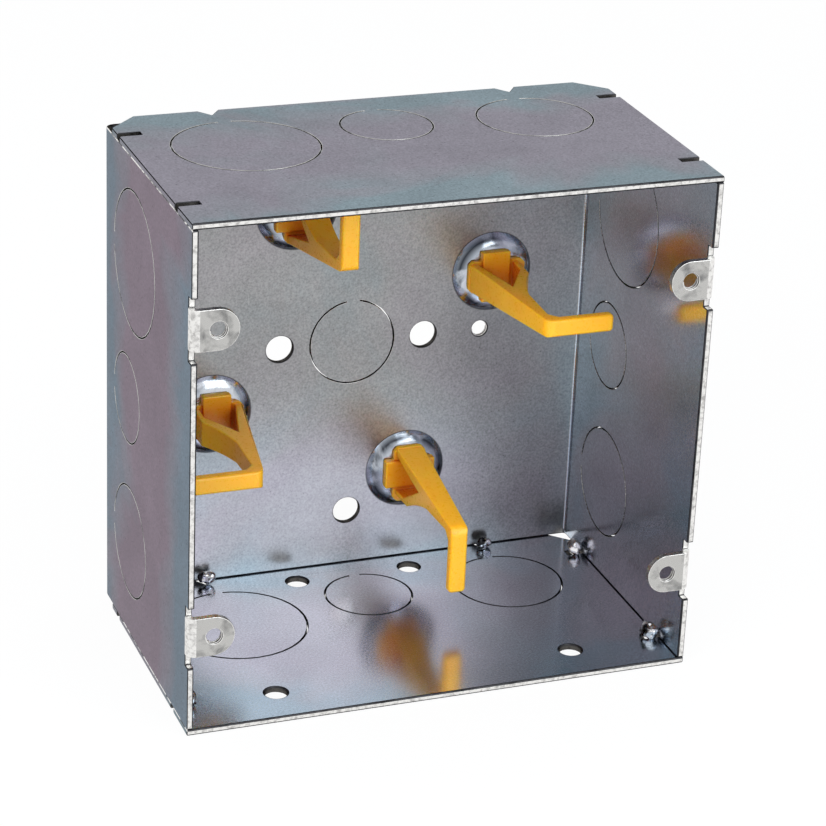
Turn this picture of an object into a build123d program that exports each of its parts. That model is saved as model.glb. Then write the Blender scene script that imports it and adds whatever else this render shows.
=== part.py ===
from build123d import *
import os

# Square telecommunication outlet box: a folded steel wrap, two welded end plates and four
# snap-in plastic cable hooks. Sizes are in millimetres. +Z is up, the open front faces -Y,
# +X is to the right, and the origin is at the centre of the bottom face.

# Overall sizes
box_width = 127.0
box_height = 127.0
box_depth = 73.0
sheet = 1.59
bend_radius = 0.8

# End plates: cut back corners, weld notches in the side edges and in the back edge
plate_corner = 7.2
side_notch_length = 5.4
side_notch_width = 2.2
side_notch_front = 12.4
side_notch_back = 12.6
back_notch_pitch = 76.2
back_notch_width = 5.4
back_notch_depth = 3.7

# Weld beads in the notches
weld_radius = 2.7
weld_length = 7.4
weld_facets = 4

# Knockouts: the three of a wall line up on their rear edges
knockout_one = 34.9
knockout_half = 22.2
knockout_three_quarter = 28.2
knockout_inset = 26.7
knockout_rear_edge = 9.2
knockout_slit = 0.3
knockout_facets = 32
knockout_tie = 3.6

# Cover ears, folded inward from the side walls between two relief notches
ear_inset = 6.35
ear_pitch = 76.2
ear_height = 10.0
ear_bend_radius = 0.45
ear_notch_height = 15.3
ear_notch_relief = 0.2
ear_hole = 4.0

# Plain holes in the back wall and in the bottom plate
mount_hole = 7.1
mount_hole_pitch = 38.1
low_hole_height = 16.6
ground_hole = 4.3
ground_hole_offset = 34.4
drain_hole = 5.6
drain_front_pitch = 76.2
drain_front_inset = 11.3
drain_back_pitch = 30.4
drain_back_inset = 8.6

# Round bosses in the back wall that carry the hooks, one beside each wall
boss_inset = 26.7
boss_side = 15.5
boss_radius = 10.4
boss_flank = 2.2
boss_height = 2.0

# Cable hook: e runs along the end bar, w across it and n out of the back wall
hook_reach = 40.0
hook_bar_end = 16.3
hook_bar_thickness = 2.7
hook_bar_width = 4.4
hook_bar_corner = 1.0
hook_spine_root = -7.2
hook_spine_elbow = -1.3
hook_spine_thickness = 2.0
hook_root_width = 7.2
hook_under = 0.6
hook_gusset = 2.1
hook_flare_top = 23.6
hook_flare_low = 11.0
hook_flare_sag = 0.6
hook_rib_outer = 5.6
hook_rib_thickness = 1.4
hook_pocket_apex_e = -1.6
hook_pocket_apex_n = 18.0
hook_pocket_side_n = 8.6
hook_foot_length = 15.0
hook_foot_width = 8.4
hook_foot_corner = 1.1
hook_base_thickness = 1.6
hook_block_length = 7.4
hook_block_span = 13.2
hook_block_shift = -0.4
hook_block_rise = 0.8

# Hook stem: two prongs through a rectangular hole, with barbs behind the sheet
stem_length = 8.4
stem_width = 5.6
stem_slot = 2.6
stem_clearance = 0.15
barb_reach = 0.7
barb_thickness = 0.9

# Places that several pieces share
front = -box_depth / 2
back = box_depth / 2
inner_back = back - sheet
mid_height = box_height / 2
hook_base_top = boss_height + hook_base_thickness
cut_through = 4 * (sheet + boss_height)


def knockout_slit_cut(diameter):
    """A slit about the local Z axis, between a round hole and its slug, with a tie on the +Y side."""
    hole = Circle((diameter + knockout_slit) / 2)
    slug = RegularPolygon((diameter - knockout_slit) / 2, knockout_facets)
    tie = Pos(0, diameter / 2) * Rectangle(knockout_tie, diameter / 2)
    return extrude(hole - slug - tie, cut_through / 2, both=True)


def wall_knockouts(plane, wall_length):
    """The three knockouts of one wall, on a plane whose Y axis runs to the back."""
    offset = wall_length / 2 - knockout_inset
    places = {knockout_one: -offset, knockout_half: 0.0, knockout_three_quarter: offset}
    cuts = []
    for diameter, x in places.items():
        y = back - knockout_rear_edge - diameter / 2
        cuts.append(plane * Pos(x, y) * knockout_slit_cut(diameter))
    return cuts


def back_plane(x, z):
    """A plane on the inside of the back wall, with its normal into the box."""
    return Plane(origin=(x, inner_back, z), x_dir=(1, 0, 0), z_dir=(0, -1, 0))


def hook_planes():
    """Each hook's plane by name: X along its end bar, the normal into the box."""
    directions = {"right": (1, 0), "bottom": (0, -1), "left": (-1, 0), "top": (0, 1)}
    planes = {}
    for name, (across, up) in directions.items():
        x = across * (box_width / 2 - boss_inset) - up * boss_side
        z = mid_height + up * (box_height / 2 - boss_inset) + across * boss_side
        planes[name] = Plane(origin=(x, inner_back, z), x_dir=(across, 0, up), z_dir=(0, -1, 0))
    return planes


def hook_boss():
    """A flat-topped boss pressed in the sheet, with Z = 0 on the wall's inside."""
    flat = boss_radius - boss_flank
    roof = boss_height - sheet
    outline = [(0, boss_height), (flat, boss_height), (boss_radius, 0), (boss_radius, -sheet)]
    recess = [(flat, -sheet), (flat, roof), (0, roof)]
    return revolve(Plane.XZ * make_face(Polyline(*outline, *recess, close=True)), Axis.Z)


def cover_ear():
    """The upper right ear, folded in from the wall, with its screw hole."""
    hole_x = box_width / 2 - ear_inset
    hole_z = mid_height + ear_pitch / 2
    reach = ear_inset + ear_height / 2
    fold_depth = sheet + ear_bend_radius + ear_notch_relief
    corner = (Align.MAX, Align.MIN)
    fold = Rectangle(reach, fold_depth, align=corner)
    fold -= Pos(-sheet, sheet) * Rectangle(reach, fold_depth, align=corner)
    fold = fillet(fold.vertices().sort_by_distance((0, 0, 0))[0], ear_bend_radius + sheet)
    fold = fillet(fold.vertices().sort_by_distance((-sheet, sheet, 0))[0], ear_bend_radius)
    strip = Pos(box_width / 2, front, hole_z) * extrude(fold, ear_height / 2, both=True)

    face = Plane(origin=(hole_x, front, hole_z), x_dir=(1, 0, 0), z_dir=(0, 1, 0))
    tab = Rectangle(ear_inset, ear_height, align=(Align.MIN, Align.CENTER)) + Circle(ear_height / 2)
    ear = strip & face * extrude(tab, fold_depth)
    return ear - face * Cylinder(ear_hole / 2, cut_through)


def body_wrap():
    """Left wall, back and right wall folded from one sheet, with all that is punched in them."""
    outer = Rectangle(box_width, box_depth)
    outer = fillet(outer.vertices().group_by(Axis.Y)[-1], bend_radius + sheet)
    inner = Rectangle(box_width - 2 * sheet, box_depth - sheet, align=(Align.CENTER, Align.MIN))
    inner = fillet(inner.vertices().group_by(Axis.Y)[-1], bend_radius)
    wrap = Pos(0, 0, sheet) * extrude(outer - Pos(0, front) * inner, box_height - 2 * sheet)

    notch_depth = sheet + ear_bend_radius + ear_notch_relief
    notch = Box(box_width, 2 * notch_depth, ear_notch_height)
    for side in (-1, 1):
        wrap -= Pos(0, front, mid_height + side * ear_pitch / 2) * notch
    ears = cover_ear()
    ears += mirror(ears, Plane.XY.offset(mid_height))
    wrap += [ears, mirror(ears, Plane.YZ)]

    boss = hook_boss()
    stem_hole = Box(stem_length + 2 * stem_clearance, stem_width + 2 * stem_clearance, cut_through)
    for plane in hook_planes().values():
        wrap -= plane * Cylinder(boss_radius, cut_through)
        wrap += plane * boss
        wrap -= plane * stem_hole

    for side in (-1, 1):
        wall = Plane(origin=(side * box_width / 2, 0, mid_height), x_dir=(0, 0, -1), z_dir=(1, 0, 0))
        wrap -= wall_knockouts(wall, box_height)
    wrap -= back_plane(0, mid_height) * knockout_slit_cut(knockout_half)

    round_holes = {
        back_plane(-mount_hole_pitch / 2, mid_height): mount_hole,
        back_plane(mount_hole_pitch / 2, mid_height): mount_hole,
        back_plane(0, low_hole_height): mount_hole,
        back_plane(ground_hole_offset, mid_height): ground_hole,
    }
    for plane, diameter in round_holes.items():
        wrap -= plane * Cylinder(diameter / 2, cut_through)
    return wrap


def notch_places():
    """The weld notches of a plate: which outer edge each is in, and where on that edge."""
    places = []
    for side in (-1, 1):
        for y in (front + side_notch_front, back - side_notch_back):
            places.append(("side", side * box_width / 2, y))
        places.append(("back", side * back_notch_pitch / 2, back))
    return places


def end_plate():
    """The plate that closes one end of the wrap, lying on Z = 0."""
    outline = Rectangle(box_width, box_depth)
    outline = chamfer(outline.vertices().group_by(Axis.Y)[-1], plate_corner)
    slot = Rectangle(2 * side_notch_length, side_notch_width)
    half = back_notch_width / 2
    vee = make_face(Polyline((-half, 0), (0, -back_notch_depth), (half, 0), close=True))
    for edge, x, y in notch_places():
        outline -= Pos(x, y) * (slot if edge == "side" else vee)
    return extrude(outline, sheet) - wall_knockouts(Plane.XY, box_width)


def bottom_plate():
    """The lower plate, which also has four plain round holes."""
    plate = end_plate()
    rows = {front + drain_front_inset: drain_front_pitch, back - drain_back_inset: drain_back_pitch}
    for y, pitch in rows.items():
        for side in (-1, 1):
            plate -= Pos(side * pitch / 2, y) * Cylinder(drain_hole / 2, cut_through)
    return plate


def weld_beads(plate, wrap):
    """The lower plate's beads: each fills a notch and lies in the corner above it."""
    bead = extrude(RegularPolygon(weld_radius, weld_facets), weld_length / 2, both=True)
    beads = []
    for edge, x, y in notch_places():
        if edge == "side":
            inward = -1 if x > 0 else 1
            seam = Pos(x + inward * weld_radius, y, weld_radius) * Rot(90, 0, 0)
        else:
            seam = Pos(x, y - weld_radius, weld_radius) * Rot(0, 90, 0)
        beads += (seam * bead - plate - wrap).solids()
    return Compound(children=beads)


def hook_arm():
    """The moulded arm: X is e, Y is w, Z is n. Its spine and its rib leave an open triangle."""
    bar_low = hook_reach - hook_bar_thickness
    spine_foot = (hook_spine_root, hook_base_top)
    flare_start = (hook_under, hook_flare_top)
    flare_end = (hook_rib_outer, hook_flare_low)
    spine_and_bar = Polyline(
        spine_foot,
        (hook_spine_elbow, hook_reach),
        (hook_bar_end, hook_reach),
        (hook_bar_end, bar_low),
        (hook_under + hook_gusset, bar_low),
        (hook_under, bar_low - hook_gusset),
        flare_start,
    )
    flare = SagittaArc(flare_start, flare_end, -hook_flare_sag)
    foot = Polyline(flare_end, (hook_rib_outer, hook_base_top), spine_foot)
    side_view = Plane.XZ * make_face([spine_and_bar, flare, foot])
    arm = extrude(side_view, hook_root_width / 2, both=True)

    root = hook_root_width / 2
    tip = hook_bar_width / 2
    taper = [(-root, hook_base_top), (-tip, hook_reach), (tip, hook_reach), (root, hook_base_top)]
    front_view = Plane.YZ * make_face(Polyline(*taper, close=True))
    arm &= extrude(front_view, cut_through + hook_bar_end, both=True)

    pocket_rib = hook_rib_outer - hook_rib_thickness
    pocket_points = [
        (hook_spine_root + hook_spine_thickness, hook_base_top),
        (hook_pocket_apex_e, hook_pocket_apex_n),
        (pocket_rib, hook_pocket_side_n),
        (pocket_rib, hook_base_top),
    ]
    pocket = Plane.XZ * make_face(Polyline(*pocket_points, close=True))
    arm -= extrude(pocket, hook_root_width, both=True)
    bar_end = arm.faces().sort_by(Axis.X)[-1].edges().sort_by(Axis.Y)
    return fillet([bar_end[0], bar_end[-1]], hook_bar_corner)


def cable_hook():
    """One moulded hook on the axes of its arm, with Z = 0 on the back wall's inside."""
    seat = Pos(0, 0, boss_height)
    foot = Rectangle(hook_foot_length, hook_foot_width)
    foot = chamfer(foot.vertices(), hook_foot_corner)
    base = seat * extrude(foot, hook_base_thickness)
    block = Pos(hook_block_shift, 0) * Rectangle(hook_block_length, hook_block_span)
    base += seat * extrude(block, hook_base_thickness + hook_block_rise)

    barb_top = boss_height - sheet - stem_clearance
    prongs = Rectangle(stem_length, stem_width) - Rectangle(stem_slot, stem_width)
    barbs = Rectangle(stem_length + 2 * barb_reach, stem_width) - Rectangle(stem_slot, stem_width)
    stem = seat * extrude(prongs, barb_top - barb_thickness - boss_height)
    stem += Pos(0, 0, barb_top) * extrude(barbs, -barb_thickness)
    return hook_arm() + base + stem


def write(name, shape):
    """Writes one sub-part to its own file."""
    shape.label = name
    export_step(shape, os.path.join("parts", name + ".step"))


def main():
    os.makedirs("parts", exist_ok=True)
    middle = Plane.XY.offset(mid_height)
    wrap = body_wrap()
    lower = bottom_plate()
    lower_welds = weld_beads(lower, wrap)
    write("body_wrap", wrap)
    write("bottom_plate", lower)
    write("top_plate", mirror(end_plate(), middle))
    write("bottom_welds", lower_welds)
    write("top_welds", mirror(lower_welds, middle))
    hook = cable_hook()
    for name, plane in hook_planes().items():
        write("hook_" + name, plane * hook)


main()
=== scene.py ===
# %% [markdown]
# # A steel telecommunication box and its cable hooks
# The real box is one strip of zinc-plated steel folded into two sides and a back, closed by two
# welded end plates. Four orange plastic hooks snap into pressed bosses and hold the cable.
# The solids were made elsewhere, so they come in as a fixed frame. Nothing moves them: a finer
# piece only stands in for one.

# %% Load the frame
import bmesh
import bpy
import math
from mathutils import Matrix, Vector
from mathutils.bvhtree import BVHTree
from mathutils.kdtree import KDTree


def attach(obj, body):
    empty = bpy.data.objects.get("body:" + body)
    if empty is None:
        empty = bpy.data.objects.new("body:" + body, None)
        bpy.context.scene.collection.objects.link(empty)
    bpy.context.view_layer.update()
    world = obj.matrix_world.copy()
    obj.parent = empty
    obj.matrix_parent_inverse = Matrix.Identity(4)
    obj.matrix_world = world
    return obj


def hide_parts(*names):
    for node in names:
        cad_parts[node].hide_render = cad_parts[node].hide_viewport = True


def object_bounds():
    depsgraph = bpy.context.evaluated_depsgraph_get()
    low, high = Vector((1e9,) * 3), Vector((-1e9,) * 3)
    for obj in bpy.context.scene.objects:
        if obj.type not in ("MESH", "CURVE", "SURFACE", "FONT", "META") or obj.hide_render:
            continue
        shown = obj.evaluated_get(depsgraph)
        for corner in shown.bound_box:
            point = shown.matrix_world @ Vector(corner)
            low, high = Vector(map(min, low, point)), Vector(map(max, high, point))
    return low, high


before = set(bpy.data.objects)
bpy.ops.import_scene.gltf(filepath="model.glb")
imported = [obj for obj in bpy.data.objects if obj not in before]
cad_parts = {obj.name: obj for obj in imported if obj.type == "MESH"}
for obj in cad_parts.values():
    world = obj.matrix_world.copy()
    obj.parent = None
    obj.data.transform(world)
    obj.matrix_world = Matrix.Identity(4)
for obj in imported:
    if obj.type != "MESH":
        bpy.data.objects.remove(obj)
cad_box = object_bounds()
MM = 0.001
BOX_MIDDLE = (cad_box[0] + cad_box[1]) / 2
print("nodes:", sorted(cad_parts))
print("box in mm:", [round((high - low) / MM, 2) for low, high in zip(*cad_box)])

# %% [markdown]
# ## The camera
# The picture was taken from above and to the left of the open front with a long lens. The place and
# the turn below came from matching the box's corners, and the lens from how little the far edges
# shrink. A long lens could also be tried by eye, but a wrong one bends every edge of a box.

# %% Place the camera
PICTURE_SIZE = 826
FOCAL_PIXELS = 3019.0
CAMERA_PLACE = (-0.23921, -0.62140, 0.35703)
CAMERA_TURN = (65.884, -2.294, -20.317)


def put_in_scene(name, data):
    """A new object in the scene, made of the given data."""
    thing = bpy.data.objects.new(name, data)
    bpy.context.scene.collection.objects.link(thing)
    return thing


camera_data = bpy.data.cameras.new("studio_camera")
camera_data.sensor_width = 36.0
camera_data.lens = FOCAL_PIXELS / PICTURE_SIZE * camera_data.sensor_width
camera_data.clip_start = 0.02
camera_data.clip_end = 20.0
camera = put_in_scene("studio_camera", camera_data)
camera.location = CAMERA_PLACE
camera.rotation_euler = [math.radians(angle) for angle in CAMERA_TURN]
bpy.context.scene.camera = camera
print("lens in mm:", round(camera_data.lens, 1))

# %% [markdown]
# ## Building node trees
# Every finish below is a small tree of nodes. One helper adds a node, sets its values and links its
# inputs, and the others name the nodes that come up most. A tree could be drawn by hand in the
# editor, but a script gives the same tree each time.

# %% Helpers that add nodes
def add(tree, kind, inputs=None, **settings):
    """Adds a node to a tree. Inputs go by name or number, and are values or other nodes' sockets."""
    node = tree.nodes.new(kind)
    for name, value in settings.items():
        setattr(node, name, value)
    for key, value in (inputs or {}).items():
        if isinstance(value, bpy.types.NodeSocket):
            tree.links.new(value, node.inputs[key])
        else:
            node.inputs[key].default_value = value
    return node


def maths(tree, operation, *values):
    """What a sum on numbers gives."""
    return add(tree, "ShaderNodeMath", dict(enumerate(values)), operation=operation).outputs[0]


def vector_maths(tree, operation, *values):
    """What a sum on vectors gives: a number for a length or a distance, and otherwise a vector."""
    node = add(tree, "ShaderNodeVectorMath", dict(enumerate(values)), operation=operation)
    return node.outputs["Value" if operation in ("LENGTH", "DISTANCE") else "Vector"]


print("node helpers ready")

# %% Helpers for patterns and colours
def noise(tree, place, scale, detail, roughness=0.5, distortion=0.0):
    """A cloudy pattern that runs through space."""
    form = {"Detail": detail, "Roughness": roughness, "Distortion": distortion}
    return add(tree, "ShaderNodeTexNoise", {"Vector": place, "Scale": scale, **form}).outputs[0]


def spread(tree, value, low, high, start=0.0, end=1.0):
    """Stretches a value that runs from start to end so that it runs from low to high."""
    levels = {"From Min": start, "From Max": end, "To Min": low, "To Max": high}
    return add(tree, "ShaderNodeMapRange", {"Value": value, **levels}).outputs[0]


def mix_colours(tree, factor, first, second, blend="MIX"):
    """The colour between two others, at the factor's share of the second."""
    inputs = {0: factor, 6: first, 7: second}
    return add(tree, "ShaderNodeMix", inputs, data_type="RGBA", blend_type=blend).outputs[2]


def mix_shaders(tree, factor, first, second):
    """The shader between two others, at the factor's share of the second."""
    inputs = {0: factor, 1: first.outputs[0], 2: second.outputs[0]}
    return add(tree, "ShaderNodeMixShader", inputs).outputs[0]


print("pattern helpers ready")

# %% [markdown]
# ## The white studio
# The box stands on white paper in white surroundings. Both have to look white without flooding the
# steel with light, so only the rays that the camera, a reflection or glass sends out see them at full
# white. A share of plain paper is left in the mix, which keeps the shadow under the box.

# %% White surroundings
WHITE = (1.0, 1.0, 1.0, 1.0)
SOFT_WHITE = (0.94, 0.96, 1.0, 1.0)
SOFT_STRENGTH = 0.9


def background_rays(tree):
    """1 for rays that see the background as the camera does, and 0 for rays that carry light."""
    path = add(tree, "ShaderNodeLightPath").outputs
    seen = maths(tree, "MAXIMUM", path["Is Camera Ray"], path["Is Glossy Ray"])
    return maths(tree, "MAXIMUM", seen, path["Is Transmission Ray"])


world = bpy.data.worlds.new("white_studio")
world.use_nodes = True
world.cycles.sampling_method = "NONE"
bpy.context.scene.world = world
sky = world.node_tree
sky.nodes.clear()
soft = add(sky, "ShaderNodeBackground", {"Color": SOFT_WHITE, "Strength": SOFT_STRENGTH})
white = add(sky, "ShaderNodeBackground", {"Color": WHITE, "Strength": 1.0})
add(sky, "ShaderNodeOutputWorld", {"Surface": mix_shaders(sky, background_rays(sky), soft, white)})
print("surroundings light the box at", SOFT_STRENGTH)

# %% White paper
PAPER_GREY = (0.86, 0.86, 0.86, 1.0)
PAPER_GLOW = 0.94
HALF_FLOOR = 4.0
FLOOR_GAP = 0.2 * MM

paper = bpy.data.materials.new("white_paper")
paper.use_nodes = True
paper.cycles.emission_sampling = "NONE"
paper_tree = paper.node_tree
paper_tree.nodes.clear()
matt = add(paper_tree, "ShaderNodeBsdfDiffuse", {"Color": PAPER_GREY})
glow = add(paper_tree, "ShaderNodeEmission", {"Color": WHITE, "Strength": 1.0})
glow_share = maths(paper_tree, "MULTIPLY", background_rays(paper_tree), PAPER_GLOW)
paper_mix = mix_shaders(paper_tree, glow_share, matt, glow)
add(paper_tree, "ShaderNodeOutputMaterial", {"Surface": paper_mix})

corners = [(x * HALF_FLOOR, y * HALF_FLOOR, -FLOOR_GAP) for x, y in ((-1, -1), (1, -1), (1, 1), (-1, 1))]
floor_mesh = bpy.data.meshes.new("studio_floor")
floor_mesh.from_pydata(corners, [], [(0, 1, 2, 3)])
floor_mesh.materials.append(paper)
floor = put_in_scene("studio_floor", floor_mesh)
print("paper is", 2 * HALF_FLOOR, "m wide")

# %% [markdown]
# ## The lamps
# Steel shows what stands round it, so the lamps are large panels. The key panel is in front, above
# and to the right, and slightly cool: the floor of the box sees it by way of the back wall, which
# gives the bright corner at the left. A panel at the front left reaches past the left wall to the
# hooks, and is kept out of the reflections, which would show it as a hard white patch on every boss.
# A lamp's brightness is that of its surface, where white paper is 1: it is what a reflection shows.

# %% Hang the lamps
COOL_TINT = (0.91, 0.965, 1.0)


def hang_panel(name, direction, distance, width, height, brightness, tint=WHITE[:3], mirrored=True):
    """A soft panel that faces the middle of the box. One that isn't mirrored stays out of reflections."""
    data = bpy.data.lights.new(name, "AREA")
    data.shape = "RECTANGLE"
    data.size = width
    data.size_y = height
    data.energy = brightness * math.pi * width * height
    data.color = tint
    lamp = put_in_scene(name, data)
    lamp.location = BOX_MIDDLE + Vector(direction).normalized() * distance
    lamp.rotation_euler = (BOX_MIDDLE - lamp.location).to_track_quat("-Z", "Y").to_euler()
    lamp.visible_camera = False
    lamp.visible_glossy = mirrored
    print(name, "gives", round(data.energy, 2), "W")


hang_panel("key_panel", direction=(0.36, -0.80, 0.62), distance=1.15, width=0.75, height=0.85,
           brightness=2.5, tint=COOL_TINT)
hang_panel("left_panel", direction=(-0.70, -0.70, 0.46), distance=1.2, width=0.9, height=0.6,
           brightness=6.5, mirrored=False)

# %% [markdown]
# ## Grain that every finish shares
# Rolled sheet, cut edges, welds and moulded plastic all have a fine grain and slower, cloudy changes
# of tone. They are one effect at different sizes, so they are one node group with named inputs,
# placed in each material with its own numbers. A picture of steel could be used instead, but it
# would repeat and blur close up.

# %% Fine grain group
SOCKET_KINDS = {1: "NodeSocketFloat", 3: "NodeSocketVector", 4: "NodeSocketColor"}
ORIGIN = (0.0, 0.0, 0.0)
SPECKLE_RELIEF = 0.7


def start_group(name, inputs, outputs, gives="NodeSocketFloat"):
    """A shader group with its sockets. The first value of an input says what kind it is."""
    group = bpy.data.node_groups.new(name, "ShaderNodeTree")
    for title, value in inputs.items():
        kind = SOCKET_KINDS[len(value) if isinstance(value, tuple) else 1]
        group.interface.new_socket(title, in_out="INPUT", socket_type=kind).default_value = value
    for title in outputs:
        group.interface.new_socket(title, in_out="OUTPUT", socket_type=gives)
    return group, add(group, "NodeGroupInput").outputs, add(group, "NodeGroupOutput").inputs


def close_group(group, given, results):
    """Links what a group worked out to its outputs."""
    for title, socket in results.items():
        group.links.new(socket, given[title])
    print(group.name, "gives:", list(results))


fine_grain, asked, given = start_group(
    "fine_grain", {"Place": ORIGIN, "Grain Scale": 2500.0, "Cloud Scale": 60.0},
    ["Speckle", "Cloud", "Height"])
speckle = noise(fine_grain, asked["Place"], asked["Grain Scale"], 3.0, roughness=0.6)
cloud = noise(fine_grain, asked["Place"], asked["Cloud Scale"], 5.0, roughness=0.55, distortion=0.4)
relief = maths(fine_grain, "MULTIPLY_ADD", speckle, SPECKLE_RELIEF, cloud)
close_group(fine_grain, given, {"Speckle": speckle, "Cloud": cloud, "Height": relief})

# %% [markdown]
# ## Scuffs that every finish shares
# Boxes rub against each other in the carton, which leaves hairline scuffs. A fine noise drawn out in
# one direction and cut off high leaves short hairs, and a slow noise keeps them to patches. Scratches
# could be placed by hand, but nobody would see the difference.

# %% Scuff group
HAIR_STEP = 0.06
PATCH_SCALE = 60.0
PATCH_LEVELS = (0.5, 0.66)

scuffs, asked, given = start_group(
    "scuffs", {"Place": ORIGIN, "Scale": 2600.0, "Stretch": (1.0, 1.0, 0.03), "Level": 0.66}, ["Mask"])
drawn = vector_maths(scuffs, "MULTIPLY", asked["Place"], asked["Stretch"])
hairs = noise(scuffs, drawn, asked["Scale"], 1.0)
above = maths(scuffs, "SUBTRACT", hairs, asked["Level"])
hair = spread(scuffs, above, 0.0, 1.0, 0.0, HAIR_STEP)
patches = noise(scuffs, asked["Place"], PATCH_SCALE, 2.0)
where = spread(scuffs, patches, 0.0, 1.0, *PATCH_LEVELS)
close_group(scuffs, given, {"Mask": maths(scuffs, "MULTIPLY", hair, where)})

# %% [markdown]
# ## Shade lines round the bosses
# Where the rim of a boss was pushed out of the flat, the crease is painted as a fine dark line, a
# painted shade. It is a ring about an axis through the back wall, so its mask is a narrow band of the
# distance from that axis. It could be a groove in the mesh, but it is thinner than a hair.

# %% Ring shade group
ring_shade_mask, asked, given = start_group(
    "ring_shade_mask", {"Place": ORIGIN, "Centre": ORIGIN, "Radius": 10.0 * MM, "Width": 0.3 * MM}, ["Mask"])
from_axis = vector_maths(ring_shade_mask, "SUBTRACT", asked["Place"], asked["Centre"])
flat = vector_maths(ring_shade_mask, "MULTIPLY", from_axis, (1.0, 0.0, 1.0))
gap = maths(ring_shade_mask, "SUBTRACT", vector_maths(ring_shade_mask, "LENGTH", flat), asked["Radius"])
gap = maths(ring_shade_mask, "ABSOLUTE", gap)
gap_share = maths(ring_shade_mask, "DIVIDE", gap, asked["Width"])
close_group(ring_shade_mask, given, {"Mask": spread(ring_shade_mask, gap_share, 1.0, 0.0)})

# %% [markdown]
# ## The film on plated steel
# After plating, the zinc is dipped in a bath that leaves a clear film. It drains towards the front and
# back edges, so the middle of a face is tinted violet and its edges blue-green, with slow drifts
# between them. Round the bend, the flat back has only the drifts. A thin-film shader could do that
# too, but the export has no place for it, so the tint is painted into the metal's own colour.

# %% Film tint group
HALF_DEPTH = (cad_box[1].y - cad_box[0].y) / 2
BEND_DEPTH = 2.4 * MM
DRAIN_START = 0.3 * HALF_DEPTH
THIN_FILM = 0.36
EVEN_FILM = 0.5
THICK_FILM = 0.64

film_tint, asked, given = start_group(
    "film_tint", {"Place": ORIGIN, "Metal": WHITE, "Violet": WHITE, "Teal": WHITE, "Strength": 1.0,
                  "Edge Pull": 0.0}, ["Color"], gives="NodeSocketColor")
drift = noise(film_tint, asked["Place"], 22.0, 4.0, roughness=0.55, distortion=0.8)
depth = add(film_tint, "ShaderNodeSeparateXYZ", {0: asked["Place"]}).outputs["Y"]
from_middle = maths(film_tint, "ABSOLUTE", depth)
drained = spread(film_tint, from_middle, 0.5, -0.5, DRAIN_START, HALF_DEPTH)
off_back = spread(film_tint, depth, 1.0, 0.0, HALF_DEPTH - BEND_DEPTH, HALF_DEPTH)
pull = maths(film_tint, "MULTIPLY", asked["Edge Pull"], off_back)
thickness = maths(film_tint, "MULTIPLY_ADD", drained, pull, drift)
shares = {
    "Violet": spread(film_tint, thickness, 0.0, 1.0, EVEN_FILM, THICK_FILM),
    "Teal": spread(film_tint, thickness, 1.0, 0.0, THIN_FILM, EVEN_FILM),
}
tinted = asked["Metal"]
for title, share in shares.items():
    strong = maths(film_tint, "MULTIPLY", share, asked["Strength"])
    tinted = mix_colours(film_tint, strong, tinted, asked[title])
close_group(film_tint, given, {"Color": tinted})

# %% [markdown]
# ## Scorch round the welds
# A weld burns the steel round it, and a dark halo stays under the zinc. The box has twelve welds, but
# they mirror each other left to right and top to bottom. Folding the coordinates over those two
# middles leaves three places, so three distances are enough, with a noise to fray the edge.

# %% Scorch group
WELD_SPOTS = [(61.5, -24.1, 61.5), (61.5, 23.9, 61.5), (38.1, 34.5, 61.5)]
FRAY_SCALE = 500.0
FRAY_DEPTH = 4.0 * MM

scorch, asked, given = start_group(
    "scorch", {"Place": ORIGIN, "Core": 3.5 * MM, "Fade": 5.5 * MM}, ["Mask"])
from_box = vector_maths(scorch, "SUBTRACT", asked["Place"], (0.0, 0.0, BOX_MIDDLE.z))
plain = add(scorch, "ShaderNodeSeparateXYZ", {0: from_box}).outputs
mirrored = add(scorch, "ShaderNodeSeparateXYZ", {0: vector_maths(scorch, "ABSOLUTE", from_box)}).outputs
parts = {0: mirrored["X"], 1: plain["Y"], 2: mirrored["Z"]}
folded = add(scorch, "ShaderNodeCombineXYZ", parts).outputs[0]
nearest = 1.0
for spot in WELD_SPOTS:
    away = vector_maths(scorch, "DISTANCE", folded, [value * MM for value in spot])
    nearest = maths(scorch, "MINIMUM", nearest, away)
fray = noise(scorch, asked["Place"], FRAY_SCALE, 3.0)
frayed = maths(scorch, "MULTIPLY_ADD", fray, FRAY_DEPTH, nearest)
close_group(scorch, given, {"Mask": spread(scorch, frayed, 1.0, 0.0, asked["Core"], asked["Fade"])})

# %% [markdown]
# ## Materials out of groups
# A material is the shared groups with its own numbers, joined into one shader by their colour,
# roughness and fine relief. They are placed by the object's own coordinates, which stay with the part
# wherever it is used.

# %% Material helpers
BOSS_SPOTS = [(36.8, 79.0), (15.5, 26.7), (-36.8, 48.0), (-15.5, 100.3)]


def start_material(name):
    """A new material with only a shader in it, and the object's own coordinates."""
    material = bpy.data.materials.new(name)
    material.use_nodes = True
    tree = material.node_tree
    place = add(tree, "ShaderNodeTexCoord").outputs["Object"]
    return material, tree, tree.nodes["Principled BSDF"], place


def place_group(tree, group, inputs):
    """A shader group placed in a material. Returns what the group gives."""
    return add(tree, "ShaderNodeGroup", inputs, node_tree=group).outputs


def boss_rings(tree, place, radius, width):
    """A mask of one ring round each boss."""
    mask = 0.0
    for x, z in BOSS_SPOTS:
        inputs = {"Place": place, "Centre": (x * MM, 0.0, z * MM), "Radius": radius, "Width": width}
        mask = maths(tree, "MAXIMUM", mask, place_group(tree, ring_shade_mask, inputs)["Mask"])
    return mask


def connect(tree, shader, colour, roughness, height, strength, distance):
    """Links a finish's colour, roughness and fine relief to its shader."""
    tree.links.new(colour, shader.inputs["Base Color"])
    tree.links.new(roughness, shader.inputs["Roughness"])
    bump = add(tree, "ShaderNodeBump", {"Strength": strength, "Distance": distance, "Height": height})
    tree.links.new(bump.outputs[0], shader.inputs["Normal"])


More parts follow.
